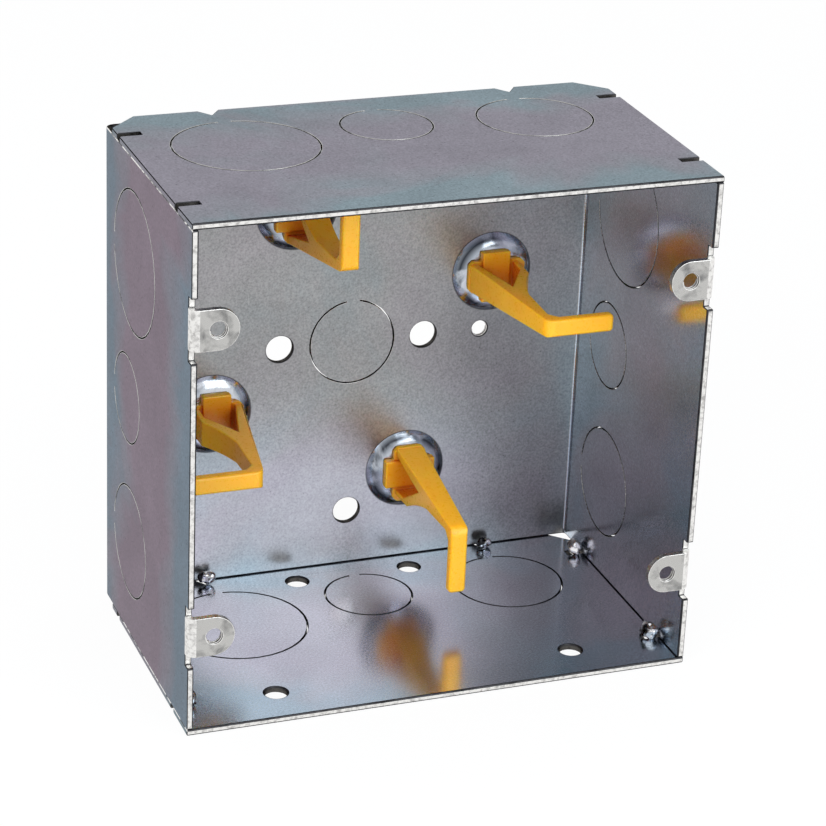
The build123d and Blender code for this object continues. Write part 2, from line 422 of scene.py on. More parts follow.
def make_metal(shader, glance):
    """Makes a shader a metal. Glance tints what it mirrors where it is seen edge-on."""
    shader.inputs["Metallic"].default_value = 1.0
    shader.inputs["Specular Tint"].default_value = glance


print("bosses:", len(BOSS_SPOTS))

# %% [markdown]
# ## Zinc-plated sheet
# The sheet mirrors its surroundings in a soft blur. Outside, the film is strong; inside, it is weaker
# and the steel greyer, and dullest on the back wall, where the press tools struck. The inside faces
# other than the back wall are painted far lighter than the outside and the back, a painted light.
# The speckle of the zinc changes the colour a little and the roughness more, and the scuffs are
# brighter lines. One colour could do for all, but the folded wrap and the two plates come from
# different coils.

# %% Sheet maker
SHEET_GRAIN = {"Grain Scale": 1900.0, "Cloud Scale": 55.0}
SPECKLE_LEVELS = (0.25, 0.75)
SCUFF_SHARE = 0.16
SCUFF_LIGHT = (0.6, 0.6, 0.62, 1.0)
BOSS_RADIUS = 10.4 * MM
# Painted shade: a fine dark line at the crease round each boss.
CREASE_WIDTH = 0.35 * MM
CREASE_SHADE = (0.03, 0.03, 0.035, 1.0)
BURN_SHARE = 0.2
BURN_DARK = (0.05, 0.047, 0.045, 1.0)
DULL_EDGE = (0.5, 0.5, 0.5, 1.0)
BRIGHT_EDGE = WHITE


def zinc_sheet(name, metal, violet, teal, pull, film=0.95, roughness=(0.26, 0.40), inside=False):
    """Plated sheet: tinted metal with grain, scuffs, painted shade round each boss and scorch inside."""
    material, tree, shader, place = start_material(name)
    grain = place_group(tree, fine_grain, {"Place": place, **SHEET_GRAIN})
    bath = {"Metal": metal, "Violet": violet, "Teal": teal, "Strength": film, "Edge Pull": pull}
    tint = place_group(tree, film_tint, {"Place": place, **bath})["Color"]
    speckled = spread(tree, grain["Speckle"], 0.72, 1.28, *SPECKLE_LEVELS)
    cloudy = spread(tree, grain["Cloud"], 0.92, 1.08, 0.3, 0.7)
    worn = mix_colours(tree, 1.0, tint, maths(tree, "MULTIPLY", speckled, cloudy), "MULTIPLY")
    rubbed = place_group(tree, scuffs, {"Place": place})["Mask"]
    worn = mix_colours(tree, maths(tree, "MULTIPLY", rubbed, SCUFF_SHARE), worn, SCUFF_LIGHT)
    # Painted shade: the dark line at the crease round each boss.
    worn = mix_colours(tree, boss_rings(tree, place, BOSS_RADIUS, CREASE_WIDTH), worn, CREASE_SHADE)
    if inside:
        halo = place_group(tree, scorch, {"Place": place})["Mask"]
        worn = mix_colours(tree, maths(tree, "MULTIPLY", halo, BURN_SHARE), worn, BURN_DARK)
    blur = spread(tree, grain["Speckle"], *roughness, *SPECKLE_LEVELS)
    connect(tree, shader, worn, blur, grain["Height"], 0.14, 0.04 * MM)
    make_metal(shader, BRIGHT_EDGE if inside else DULL_EDGE)
    return material


print("boss radius in mm:", round(BOSS_RADIUS / MM, 2))

# %% Sheet materials
zinc_wrap = zinc_sheet(
    "zinc_wrap", metal=(0.295, 0.29, 0.345, 1.0), violet=(0.305, 0.242, 0.297, 1.0),
    teal=(0.228, 0.295, 0.362, 1.0), pull=0.45)
zinc_plate = zinc_sheet(
    "zinc_plate", metal=(0.332, 0.345, 0.392, 1.0), violet=(0.338, 0.322, 0.378, 1.0),
    teal=(0.285, 0.368, 0.412, 1.0), pull=0.38)
# Painted light: the inside faces are far lighter than the outside and the back wall.
zinc_inside_painted_light = zinc_sheet(
    "zinc_inside_painted_light", metal=(0.57, 0.58, 0.645, 1.0), violet=(0.585, 0.56, 0.635, 1.0),
    teal=(0.49, 0.59, 0.68, 1.0), pull=0.3, film=0.85, roughness=(0.13, 0.24), inside=True)
zinc_back = zinc_sheet(
    "zinc_back", metal=(0.32, 0.322, 0.328, 1.0), violet=(0.33, 0.315, 0.335, 1.0),
    teal=(0.295, 0.33, 0.345, 1.0), pull=0.0, film=0.7, roughness=(0.27, 0.36), inside=True)
print("sheet materials:", zinc_wrap.name, zinc_plate.name, zinc_inside_painted_light.name, zinc_back.name)

# %% [markdown]
# ## Cut edges, pressed bosses and welds
# A press shears the sheet, and the fresh cut is brighter than the plated face; the cut faces and
# some corners are painted lighter still, as a painted highlight. Every other bevelled corner, and
# the walls of holes and slits further in, are painted dark as painted shade. The bosses and ears
# are burnished by the press tool, and the foot of a boss is painted dark in places, a painted dark
# reflection. The welds were made before plating: the zinc covers them, but their skin is bright in
# one place and black with scale in the next. All are one kind of steel with darker patches in it,
# stains or painted shade, so one function makes them.

# %% Bright steel maker
# Painted shade: dark patches at the foot of each boss, a painted dark reflection.
FOOT_RING = BOSS_RADIUS - 1.3 * MM
FOOT_WIDTH = 1.7 * MM
FOOT_SHADE_DARK = (0.03, 0.035, 0.045, 1.0)


def bright_steel(name, metal, dark, roughness, cloud_scale, grain_scale=1500.0, stains=(0.48, 0.66),
                 glance=BRIGHT_EDGE, painted_foot_shade=False):
    """Steel in two tones, the darker in patches, and if asked a painted shade at each boss's foot."""
    material, tree, shader, place = start_material(name)
    scales = {"Grain Scale": grain_scale, "Cloud Scale": cloud_scale}
    grain = place_group(tree, fine_grain, {"Place": place, **scales})
    stain = spread(tree, grain["Cloud"], 0.0, 1.0, *stains)
    tone = mix_colours(tree, stain, metal, dark)
    if painted_foot_shade:
        # Painted shade: the foot of each boss is darkened in patches.
        foot = maths(tree, "MULTIPLY", boss_rings(tree, place, FOOT_RING, FOOT_WIDTH), stain)
        tone = mix_colours(tree, foot, tone, FOOT_SHADE_DARK)
    blur = spread(tree, grain["Speckle"], *roughness, 0.3, 0.7)
    connect(tree, shader, tone, blur, grain["Height"], 0.3, 0.05 * MM)
    make_metal(shader, glance)
    return material


print("foot ring in mm:", round(FOOT_RING / MM, 2))

# %% Bright steel materials
BLACK_EDGE = (0.1, 0.1, 0.1, 1.0)

# Light bare steel, partly its own colour and partly a painted highlight of the white front it faces.
cut_steel_and_highlight = bright_steel(
    "cut_steel_and_highlight", (0.84, 0.83, 0.81, 1.0), (0.46, 0.45, 0.44, 1.0), roughness=(0.3, 0.5),
    cloud_scale=900.0, stains=(0.45, 0.68))
# Painted shade: the dark finish that every bevelled corner starts with.
painted_edge_shade = bright_steel(
    "painted_edge_shade", (0.06, 0.06, 0.065, 1.0), (0.02, 0.02, 0.022, 1.0), roughness=(0.4, 0.6),
    cloud_scale=200.0, glance=BLACK_EDGE)
# Painted shade: the dark walls of slits, notches, screw holes and holes further in.
punched_wall_shade = bright_steel(
    "punched_wall_shade", (0.10, 0.095, 0.09, 1.0), (0.03, 0.028, 0.027, 1.0), roughness=(0.35, 0.6),
    cloud_scale=300.0, glance=BLACK_EDGE)
# Also the painted highlight on the corners of the slits.
ear_steel_and_slit_highlight = bright_steel(
    "ear_steel_and_slit_highlight", (0.52, 0.515, 0.50, 1.0), (0.20, 0.20, 0.20, 1.0), roughness=(0.2, 0.35),
    cloud_scale=190.0)
pressed_boss = bright_steel(
    "pressed_boss", (0.58, 0.61, 0.66, 1.0), (0.40, 0.44, 0.50, 1.0), roughness=(0.10, 0.20),
    cloud_scale=120.0, grain_scale=1200.0, stains=(0.42, 0.56), painted_foot_shade=True)
weld_skin = bright_steel(
    "weld_skin", (0.80, 0.80, 0.82, 1.0), (0.02, 0.02, 0.022, 1.0), roughness=(0.06, 0.18),
    cloud_scale=260.0, grain_scale=900.0, stains=(0.46, 0.56))
# Bright burr and painted highlight along the outer seams, with dark dashes.
seam_burr_highlight = bright_steel(
    "seam_burr_highlight", (0.85, 0.84, 0.82, 1.0), (0.07, 0.07, 0.075, 1.0), roughness=(0.2, 0.4),
    cloud_scale=240.0, stains=(0.44, 0.54))
print("bright steel:", cut_steel_and_highlight.name, painted_edge_shade.name, punched_wall_shade.name, ear_steel_and_slit_highlight.name,
      pressed_boss.name, weld_skin.name, seam_burr_highlight.name)

# %% [markdown]
# ## The folded sheet with softened edges
# Real sheet has no knife edges: every cut has a small burr or a rolled corner that catches the
# light. The solids have sharp edges, so each steel piece is a merged copy with a fine bevel. First,
# each face is sorted by where it is and by a ray shot back through the sheet: where that comes out
# after one thickness, the face is skin, and otherwise it is a cut.

# %% Copy a solid
SHEET = 1.59 * MM
HAIR = 0.02 * MM
SAME_POINT = 0.002 * MM


def merged_copy(node):
    """The triangles of a node as one closed surface."""
    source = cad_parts[node].data
    mesh = bpy.data.meshes.new(node + "_copy")
    mesh.from_pydata([v.co for v in source.vertices], [], [tuple(p.vertices) for p in source.polygons])
    form = bmesh.new()
    form.from_mesh(mesh)
    bpy.data.meshes.remove(mesh)
    bmesh.ops.remove_doubles(form, verts=form.verts, dist=SAME_POINT)
    form.normal_update()
    return form


print("sheet thickness in mm:", round(SHEET / MM, 2))

# %% Places on the sheet
BOSS_DEPTH = 3.0 * MM
EAR_RISE = 38.1 * MM
EAR_REACH = 57.15 * MM
EAR_FOLD = 2.3 * MM
EAR_HALF_LENGTH = 7.0 * MM
EAR_HALF_HEIGHT = 5.1 * MM
SCREW_REACH = 2.1 * MM
FACING = 0.7
inner_back = cad_box[1].y - SHEET
front = cad_box[0].y


def on_boss(spot):
    """Whether a point is on the raised side of a boss."""
    if spot.y > inner_back - HAIR or spot.y < inner_back - BOSS_DEPTH:
        return False
    return any(math.hypot(spot.x - x * MM, spot.z - z * MM) < BOSS_RADIUS + HAIR for x, z in BOSS_SPOTS)


def on_outer_side(spot, out):
    """Whether a face lies flush in a side, the top, the bottom or the back of the box."""
    for axis in (0, 2):
        if abs(out[axis]) > FACING:
            return min(spot[axis] - cad_box[0][axis], cad_box[1][axis] - spot[axis]) < HAIR
    return out.y > FACING and cad_box[1].y - spot.y < HAIR


def from_screw(spot):
    """How far a point is from the nearest cover screw, across and up."""
    return abs(abs(spot.x) - EAR_REACH), abs(abs(spot.z - BOX_MIDDLE.z) - EAR_RISE)


def on_ear(spot):
    """Whether a point is on a folded cover ear."""
    across, up = from_screw(spot)
    return spot.y < front + EAR_FOLD and across < EAR_HALF_LENGTH and up < EAR_HALF_HEIGHT


def in_screw_hole(spot):
    """Whether a point is in the hole of a cover ear."""
    return spot.y < front + EAR_FOLD and math.hypot(*from_screw(spot)) < SCREW_REACH


print("inner back at mm:", round(inner_back / MM, 2))

# %% Sort the sheet faces
OUTSIDE, INSIDE, BACK, CUT, PUNCHED, BOSS, EAR, EDGE, SEAM = range(9)
SHEET_PLAY = 0.3 * MM
SLIT_WIDTH = 0.5 * MM
EAR_BEND = 61.4 * MM
RELIEF_DEPTH = 3.2 * MM
FACING_FRONT = -0.9


def sort_faces(form):
    """Gives every triangle of a sheet its finish. Returns the faces that line a narrow slit."""
    tree = BVHTree.FromBMesh(form)
    slits = set()
    for face in form.faces:
        spot = face.calc_center_median()
        out = face.normal
        through = tree.ray_cast(spot - out * HAIR, -out)[3]
        across = tree.ray_cast(spot + out * HAIR, out)[3]
        cut = through is None or abs(through - SHEET) > SHEET_PLAY
        # Slit and screw hole walls, and cut faces further in, take the dark painted shade; cut faces near
        # the front take the light finish, partly a painted highlight.
        if on_boss(spot):
            face.material_index = BOSS
        elif across is not None and across < SLIT_WIDTH:
            slits.add(face)
            face.material_index = PUNCHED
        elif in_screw_hole(spot):
            face.material_index = PUNCHED
        elif on_ear(spot):
            face.material_index = EAR if abs(spot.x) < EAR_BEND else CUT
        elif cut and not on_outer_side(spot, out):
            face.material_index = CUT if spot.y < front + RELIEF_DEPTH else PUNCHED
        elif out.dot(spot - BOX_MIDDLE) > 0:
            face.material_index = OUTSIDE
        else:
            face.material_index = BACK if out.y < FACING_FRONT else INSIDE
    return slits


print("sheet finishes:", SEAM + 1)

# %% [markdown]
# ## Domed bosses
# A press tool with a round nose pushes each boss out of the back wall, so its front is a smooth dome
# that mirrors the lamp along its top and the dark floor of the box along its foot. The solid has a
# flat top with a straight flank. Here that front is taken off and laid again as rings on an arc,
# which ends at the rim of the hook's hole. A bevel would round it too, but not so far in.

# %% Rings of a dome
BOSS_HEIGHT = 2.0 * MM
DOME_FLAT = 5.4 * MM
dome_run = BOSS_RADIUS - DOME_FLAT
dome_curve = (dome_run ** 2 + BOSS_HEIGHT ** 2) / (2 * BOSS_HEIGHT)
foot_tilt = math.asin(dome_run / dome_curve)


def lay_ring(form, foot, axis, tilt):
    """New points where the dome has the given tilt, one inside each point of the foot."""
    reach = DOME_FLAT + dome_curve * math.sin(tilt)
    level = inner_back - BOSS_HEIGHT + dome_curve * (1 - math.cos(tilt))
    ring = []
    for vert in foot:
        out = (Vector((vert.co.x, 0.0, vert.co.z)) - axis).normalized() * reach
        ring.append(form.verts.new((axis.x + out.x, level, axis.z + out.z)))
    return ring


print("dome radius in mm:", round(dome_curve / MM, 2))

# %% Dome maker
DOME_RINGS = 10
AT_FOOT = 0.9 * BOSS_RADIUS
PAST_FOOT = 1.1 * BOSS_RADIUS
ON_FRONT = -0.2


def from_axis_of(axis, vert):
    """How far a point is from the axis of a boss."""
    return math.hypot(vert.co.x - axis.x, vert.co.z - axis.z)


def dome_boss(form, axis, rim):
    """Lays the rings of one boss from the open edges round it."""
    feet = {vert for edge in rim for vert in edge.verts if from_axis_of(axis, vert) > AT_FOOT}
    foot = sorted(feet, key=lambda vert: math.atan2(vert.co.z - axis.z, vert.co.x - axis.x))
    hole = [edge for edge in rim if all(from_axis_of(axis, vert) < DOME_FLAT for vert in edge.verts)]
    outer = foot
    for step in range(1, DOME_RINGS + 1):
        inner = lay_ring(form, foot, axis, foot_tilt * (1 - step / DOME_RINGS))
        for here in range(len(foot)):
            after = (here + 1) % len(foot)
            face = form.faces.new((outer[here], outer[after], inner[after], inner[here]))
            face.material_index = BOSS
        outer = inner
    loop = [form.edges.get((outer[here - 1], outer[here])) for here in range(len(outer))]
    for face in bmesh.ops.bridge_loops(form, edges=loop + hole)["faces"]:
        face.material_index = BOSS
        face.normal_update()
        if face.normal.y > 0:
            face.normal_flip()
    return len(foot)


def dome_bosses(form):
    """Takes the fronts of the bosses off a sheet and lays them again as domes."""
    fronts = [face for face in form.faces if face.material_index == BOSS and face.normal.y < ON_FRONT]
    bmesh.ops.delete(form, geom=fronts, context="FACES")
    for x, z in BOSS_SPOTS if fronts else []:
        axis = Vector((x * MM, 0.0, z * MM))
        rim = [edge for edge in form.edges if edge.is_boundary
               and all(from_axis_of(axis, vert) < PAST_FOOT for vert in edge.verts)]
        print("dome at", (x, z), "has", dome_boss(form, axis, rim), "points round it")


print("rings on a dome:", DOME_RINGS)

# %% [markdown]
# ## Edges of the sheet
# The open rim, the seams and the plates' outlines are rounder than other edges, and the slits round
# the knockouts are too fine for a wide round. So the bevel is a modifier whose width follows a share
# stored on each edge. One width for all would be simpler, but it would close the slits.

# %% Shares of the bevel
EDGE_ROUND = 0.4 * MM
PLAIN_SHARE = 0.5
SLIT_SHARE = 0.3
SHARP = math.radians(25)
STEEP = 0.5


def from_end(spot):
    """How far a point is from the nearer end of the box, up or down."""
    return min(spot.z - cad_box[0].z, cad_box[1].z - spot.z)


def from_side(spot):
    """How far a point is in from the outer faces of the folded strip."""
    return min(spot.x - cad_box[0].x, cad_box[1].x - spot.x, cad_box[1].y - spot.y)


def bevel_share(edge, slits):
    """How much of the full bevel an edge gets."""
    if len(edge.link_faces) != 2 or edge.calc_face_angle(0.0) < SHARP:
        return 0.0
    if any(face.material_index == BOSS for face in edge.link_faces):
        return 0.0
    if any(face in slits for face in edge.link_faces):
        return SLIT_SHARE
    tips = [vert.co for vert in edge.verts]
    on_rim = all(tip.y < front + HAIR and not on_ear(tip) for tip in tips)
    if on_rim and from_side((tips[0] + tips[1]) / 2) < HAIR:
        return PLAIN_SHARE
    in_seam = all(abs(from_end(tip) - SHEET) < HAIR and from_side(tip) > SHEET - HAIR for tip in tips)
    on_outline = all(from_end(tip) < HAIR for tip in tips) and any(
        face.material_index == OUTSIDE and abs(face.normal.z) < STEEP for face in edge.link_faces)
    return 1.0 if on_rim or in_seam or on_outline else PLAIN_SHARE


print("corner round in mm:", round(EDGE_ROUND / MM, 2))

# %% Bevel makers
def store_shares(form, share_of):
    """Stores its share of the bevel on each edge, and counts the edges that get all of it."""
    weights = form.edges.layers.float.new("bevel_weight_edge")
    for edge in form.edges:
        edge[weights] = share_of(edge)
    return sum(1 for edge in form.edges if edge[weights] == 1.0)


def soften(piece, width, segments, material=-1):
    """A live bevel whose width follows the shares stored on the edges."""
    bevel = piece.modifiers.new("soft_edges", "BEVEL")
    bevel.width = width
    bevel.segments = segments
    bevel.limit_method = "WEIGHT"
    bevel.use_clamp_overlap = False
    bevel.harden_normals = True
    bevel.material = material


def settle_mesh(piece):
    """Turns a piece with live modifiers into a plain mesh."""
    graph = bpy.context.evaluated_depsgraph_get()
    baked = bpy.data.meshes.new_from_object(piece.evaluated_get(graph), depsgraph=graph)
    piece.modifiers.clear()
    piece.data = baked


print("bevel makers ready")

# %% [markdown]
# ## Finish of the corners
# The bevel gives all its new faces one finish, a dark painted shade. On the real box the burrs of
# the outer seams are bright, and here they are painted light with dark dashes, partly burr and
# partly painted highlight; so are the front of the ears and the near side of each weld notch. The
# slits shine softly, a painted highlight, except in the floor, where they keep the dark painted
# shade. The flatter half of a plate's side corner looks like the plate. So the bevelled result is
# turned to a plain mesh, and those faces get their own finish by where they are. Marks on the edges
# would be neater, but the bevel doesn't keep them.

# %% Finish the corners
CORNER = 0.25 * MM
NOTCH_ZONE = 32.0 * MM
FACING_BACK = 0.2
BY_SLIT = 1.2 * MM
half_width = cad_box[1].x


def corner_finish(spot, out):
    """The finish of a bevelled corner, by where it is."""
    # Outer seams, ear fronts and notch sides get painted highlights; other corners keep the dark painted
    # shade.
    if abs(from_end(spot) - SHEET) < CORNER and from_side(spot) < CORNER:
        return SEAM
    if max(from_end(spot), half_width - abs(spot.x)) < EDGE_ROUND < spot.y - front:
        return OUTSIDE if abs(out.z) > abs(out.x) else EDGE
    if on_ear(spot):
        return CUT if out.y < -FACING or abs(spot.x) > EAR_BEND else EDGE
    if from_end(spot) < CORNER and abs(spot.y) < NOTCH_ZONE and out.y > FACING_BACK:
        return CUT
    return EDGE


def finish_corners(piece, slit_spots):
    """Gives each bevelled corner its own finish, and counts those that aren't dark."""
    slit_tree = KDTree(len(slit_spots))
    for index, spot in enumerate(slit_spots):
        slit_tree.insert(spot, index)
    slit_tree.balance()
    bright = 0
    for face in piece.data.polygons:
        if face.material_index == EDGE:
            by_slit = bool(slit_spots) and slit_tree.find(face.center)[2] < BY_SLIT
            if not by_slit:
                face.material_index = corner_finish(face.center, face.normal)
            # Slit corners off the floor get a painted highlight; in the floor they keep the dark painted
            # shade.
            elif face.center.z > 2 * SHEET:
                face.material_index = EAR
            bright += face.material_index != EDGE
    return bright


print("corner width in mm:", round(CORNER / MM, 2))

# %% [markdown]
# ## Dressing the steel pieces
# Each steel piece goes through the same steps: copy and merge, sort the faces, store the bevel
# shares, lay the domes, join the triangles of each flat, bevel, and finish the corners. A piece that
# stands for a solid hides that solid and rides on the box.

# %% Piece makers
FLAT = math.radians(0.2)


def join_flat(form):
    """Joins the triangles of each flat face, finish by finish."""
    bmesh.ops.dissolve_limit(form, angle_limit=FLAT, verts=form.verts, edges=form.edges,
                             delimit={"MATERIAL"})


def finish_piece(form, name, materials, slot, *nodes):
    """Turns a worked surface into a piece that rides on the box and stands for its nodes."""
    mesh = bpy.data.meshes.new(name)
    form.to_mesh(mesh)
    form.free()
    for material in materials:
        mesh.materials.append(material)
    mesh.shade_smooth()
    mesh.set_sharp_from_angle(angle=SHARP)
    piece = put_in_scene(name, mesh)
    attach(piece, "root")
    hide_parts(*nodes)
    return piece


print("piece makers ready")

# %% Dress the steel pieces
def dress_sheet(node):
    """A steel piece with sorted faces and soft edges."""
    form = merged_copy(node)
    slits = sort_faces(form)
    slit_spots = [vert.co.copy() for face in slits for vert in face.verts]
    store_shares(form, lambda edge: bevel_share(edge, slits))
    dome_bosses(form)
    join_flat(form)
    loose = sum(1 for edge in form.edges if len(edge.link_faces) != 2)
    skin = zinc_wrap if node == "body_wrap" else zinc_plate
    finishes = [skin, zinc_inside_painted_light, zinc_back, cut_steel_and_highlight, punched_wall_shade, pressed_boss, ear_steel_and_slit_highlight,
                painted_edge_shade, seam_burr_highlight]
    piece = finish_piece(form, node + "_dressed", finishes, "zinc_steel", node)
    # The bevel's new faces take the dark painted shade.
    soften(piece, EDGE_ROUND, 2, EDGE)
    settle_mesh(piece)
    bright = finish_corners(piece, slit_spots)
    print(piece.name, "has", len(piece.data.polygons), "faces,", bright, "light corners and", loose,
          "open edges")


for node in ("body_wrap", "top_plate", "bottom_plate"):
    dress_sheet(node)

# %% [markdown]
# ## Hook plastic
# The hooks are moulded in a tough orange plastic. Its skin is satin, a little uneven where the melt
# slowed down, and slightly paler where it is rubbed. Light goes a millimetre or two into it and comes
# out redder, and the shader's subsurface part spreads the light. The hollows are also painted a
# deeper, redder orange by a measure of how shut in a point is, a painted shade. A second paint for
# the hollows would be simpler, but it would end in a hard line.

# %% Hook material
DEEP_MELT = (0.86, 0.42, 0.012, 1.0)
PALE_MELT = (0.92, 0.48, 0.02, 1.0)
HOLLOW_SHADE_ORANGE = (0.55, 0.10, 0.005, 1.0)
HOLLOW_REACH = 11.0 * MM
RUBBED_ORANGE = (0.95, 0.62, 0.16, 1.0)
RUBBED_SHARE = 0.25

orange_plastic, tree, shader, place = start_material("orange_plastic")
grain = place_group(tree, fine_grain, {"Place": place, "Grain Scale": 1400.0, "Cloud Scale": 70.0})
flow = spread(tree, grain["Cloud"], 0.0, 1.0, 0.3, 0.7)
colour = mix_colours(tree, flow, DEEP_MELT, PALE_MELT)
# Painted shade: the hollows of each hook are painted a deeper, redder orange.
shut_in = add(tree, "ShaderNodeAmbientOcclusion", {"Distance": HOLLOW_REACH}, samples=8, only_local=True)
openness = spread(tree, shut_in.outputs["AO"], 0.0, 1.0, 0.3, 0.97)
colour = mix_colours(tree, openness, HOLLOW_SHADE_ORANGE, colour)
rubbed = place_group(tree, scuffs, {"Place": place, "Scale": 1800.0, "Stretch": (1.0, 0.04, 1.0)})["Mask"]
colour = mix_colours(tree, maths(tree, "MULTIPLY", rubbed, RUBBED_SHARE), colour, RUBBED_ORANGE)
satin = spread(tree, grain["Speckle"], 0.24, 0.36, 0.3, 0.7)
connect(tree, shader, colour, satin, grain["Height"], 0.2, 0.03 * MM)
shader.inputs["Subsurface Weight"].default_value = 0.8
shader.inputs["Subsurface Radius"].default_value = (1.0, 0.3, 0.05)
shader.inputs["Subsurface Scale"].default_value = 3.0 * MM
print("hook material:", orange_plastic.name)

# %% [markdown]
# ## The hooks
# A mould leaves every edge rounded, and the elbow between arm and bar most of all, so that it doesn't
# crack there. The copies of the four hooks get a bevel whose width follows the edge: wide at the
# elbow, about three quarters of a millimetre along the bar, half that on the arm, and a trace on the
# foot, where there is no room for more. A subdivision surface would round them too, but it would pull
# the flat faces out of true.

# %% Round the hooks
ELBOW_ROUND = 2.4 * MM
BAR_SHARE = 0.32
ARM_SHARE = 0.16
FOOT_SHARE = 0.04
FOOT_LEVEL = 3.6 * MM
BAR_LEVEL = 34.0 * MM
HOOK_REACH = 40.0 * MM
BAR_WIDTH = 4.4 * MM
WIDTH_PLAY = 10 * HAIR


def hook_share(edge):
    """How much of the elbow's round an edge of a hook gets."""
    levels = [inner_back - vert.co.y for vert in edge.verts]
    if edge.calc_face_angle(0.0) < SHARP:
        return 0.0
    if min(levels) > HOOK_REACH - HAIR and abs(edge.calc_length() - BAR_WIDTH) < WIDTH_PLAY:
        return 1.0
    if all(abs(level - FOOT_LEVEL) < HAIR for level in levels):
        return FOOT_SHARE
    return BAR_SHARE if min(levels) > BAR_LEVEL else ARM_SHARE


def dress_hook(node):
    """A hook with moulded, rounded edges."""
    form = merged_copy(node)
    elbows = store_shares(form, hook_share)
    join_flat(form)
    piece = finish_piece(form, node + "_dressed", [orange_plastic], "hook_plastic", node)
    soften(piece, ELBOW_ROUND, 4)
    print(piece.name, "has", len(piece.data.polygons), "faces and", elbows, "round elbow")


for side in ("right", "bottom", "left", "top"):
    dress_hook("hook_" + side)

# %% [markdown]
# ## Shapes grown on points
# The welds and the screw threads are small shapes that come up again and again. A node tree puts one
# on every point and stretches it to the size stored there. Copies placed by hand would do, but each
# change would have to be made in all of them.

# %% Helpers for shapes on points
SIZE_LAYER = "half_size"


def start_tree(name, inputs):
    """A Geometry Nodes tree with its named inputs."""
    tree = bpy.data.node_groups.new(name, "GeometryNodeTree")
    tree.interface.new_socket("Geometry", in_out="INPUT", socket_type="NodeSocketGeometry")
    tree.interface.new_socket("Geometry", in_out="OUTPUT", socket_type="NodeSocketGeometry")
    for title, kind in inputs.items():
        tree.interface.new_socket(title, in_out="INPUT", socket_type="NodeSocket" + kind)
    return tree, add(tree, "NodeGroupInput").outputs, add(tree, "NodeGroupOutput").inputs


def grow_on_points(tree, points, shape, turn=ORIGIN):
    """A copy of a shape on each point, turned, and stretched to the size stored there."""
    size = add(tree, "GeometryNodeInputNamedAttribute", {"Name": SIZE_LAYER}, data_type="FLOAT_VECTOR")
    inputs = {"Points": points, "Instance": shape, "Rotation": turn, "Scale": size.outputs[0]}
    copies = add(tree, "GeometryNodeInstanceOnPoints", inputs)
    return add(tree, "GeometryNodeRealizeInstances", {"Geometry": copies.outputs[0]}).outputs[0]


def close_tree(tree, given, shape, finish):
    """Shades a shape smoothly, gives it its finish and hands it out of the tree."""
    smooth = add(tree, "GeometryNodeSetShadeSmooth", {"Geometry": shape})
    coated = add(tree, "GeometryNodeSetMaterial", {"Geometry": smooth.outputs[0], "Material": finish})
    tree.links.new(coated.outputs[0], given["Geometry"])
    print(tree.name, "has", len(tree.nodes), "nodes")


print("sizes on points:", SIZE_LAYER)

# %% Run a tree on points
def run_tree(name, points, sizes, tree, values):
    """Runs a tree on points that carry a size, and keeps the result as a plain mesh."""
    mesh = bpy.data.meshes.new(name)
    mesh.from_pydata(points, [], [])
    store = mesh.attributes.new(SIZE_LAYER, "FLOAT_VECTOR", "POINT")
    for item, value in zip(store.data, sizes):
        item.vector = value
    piece = put_in_scene(name, mesh)
    modifier = piece.modifiers.new(name, "NODES")
    modifier.node_group = tree
    sockets = {item.name: item.identifier for item in tree.interface.items_tree if item.in_out == "INPUT"}
    for title, value in values.items():
        modifier[sockets[title]] = value
    settle_mesh(piece)
    if piece.data.materials[0] is None:
        piece.data.materials.pop(index=0)
    return piece


print("tree runner ready")

# %% [markdown]
# ## Weld beads
# Each plate is held by six short welds, melted through notches in its edges. No two are alike. The
# solids only mark their places, so a node tree puts a ball at each place, stretches it to the mark's
# size and pushes its skin in and out with a noise that runs through space. The beads could be
# sculpted, but twelve by hand would take longer and look no better.

# %% Weld bead tree
LUMP_LEVEL = 0.55

beads, asked, given = start_tree("weld_beads", {
    "Roundness": "Int", "Lump Height": "Float", "Lump Scale": "Float", "Seed": "Float",
    "Finish": "Material"})
ball = add(beads, "GeometryNodeMeshIcoSphere", {"Radius": 1.0, "Subdivisions": asked["Roundness"]})
balls = grow_on_points(beads, asked["Geometry"], ball.outputs["Mesh"])
lump_form = {"Scale": asked["Lump Scale"], "W": asked["Seed"], "Detail": 1.0}
lumps = add(beads, "ShaderNodeTexNoise", lump_form, noise_dimensions="4D").outputs[0]
push = maths(beads, "MULTIPLY", maths(beads, "SUBTRACT", lumps, LUMP_LEVEL), asked["Lump Height"])
out = add(beads, "GeometryNodeInputNormal").outputs[0]
offset = add(beads, "ShaderNodeVectorMath", {0: out, "Scale": push}, operation="SCALE").outputs[0]
pushed = add(beads, "GeometryNodeSetPosition", {"Geometry": balls, "Offset": offset}).outputs[0]
close_tree(beads, given, pushed, asked["Finish"])

# %% [markdown]
# ## Laying the beads
# The marks of a plate are loose lumps in one node, so each lump is found by walking along its edges.
# A bead shrinks as it cools and sinks below the outer faces, so the notch that it fills stays a dark
# hollow from outside. Each ball is therefore smaller than its mark and set a little further in. The
# beads along the back, where the plate is notched less, are the smallest.

# %% Find the weld marks
def loose_boxes(node):
    """The middle and half size of each separate lump of a node."""
    form = merged_copy(node)
    waiting = set(form.verts)
    boxes = []
    while waiting:
        lump = [waiting.pop()]
        for vert in lump:
            joined = {edge.other_vert(vert) for edge in vert.link_edges} & waiting
            waiting -= joined
            lump.extend(joined)
        low = Vector(min(vert.co[axis] for vert in lump) for axis in range(3))
        high = Vector(max(vert.co[axis] for vert in lump) for axis in range(3))
        boxes.append(((low + high) / 2, (high - low) / 2))
    form.free()
    return sorted(boxes, key=lambda box: tuple(box[0]))


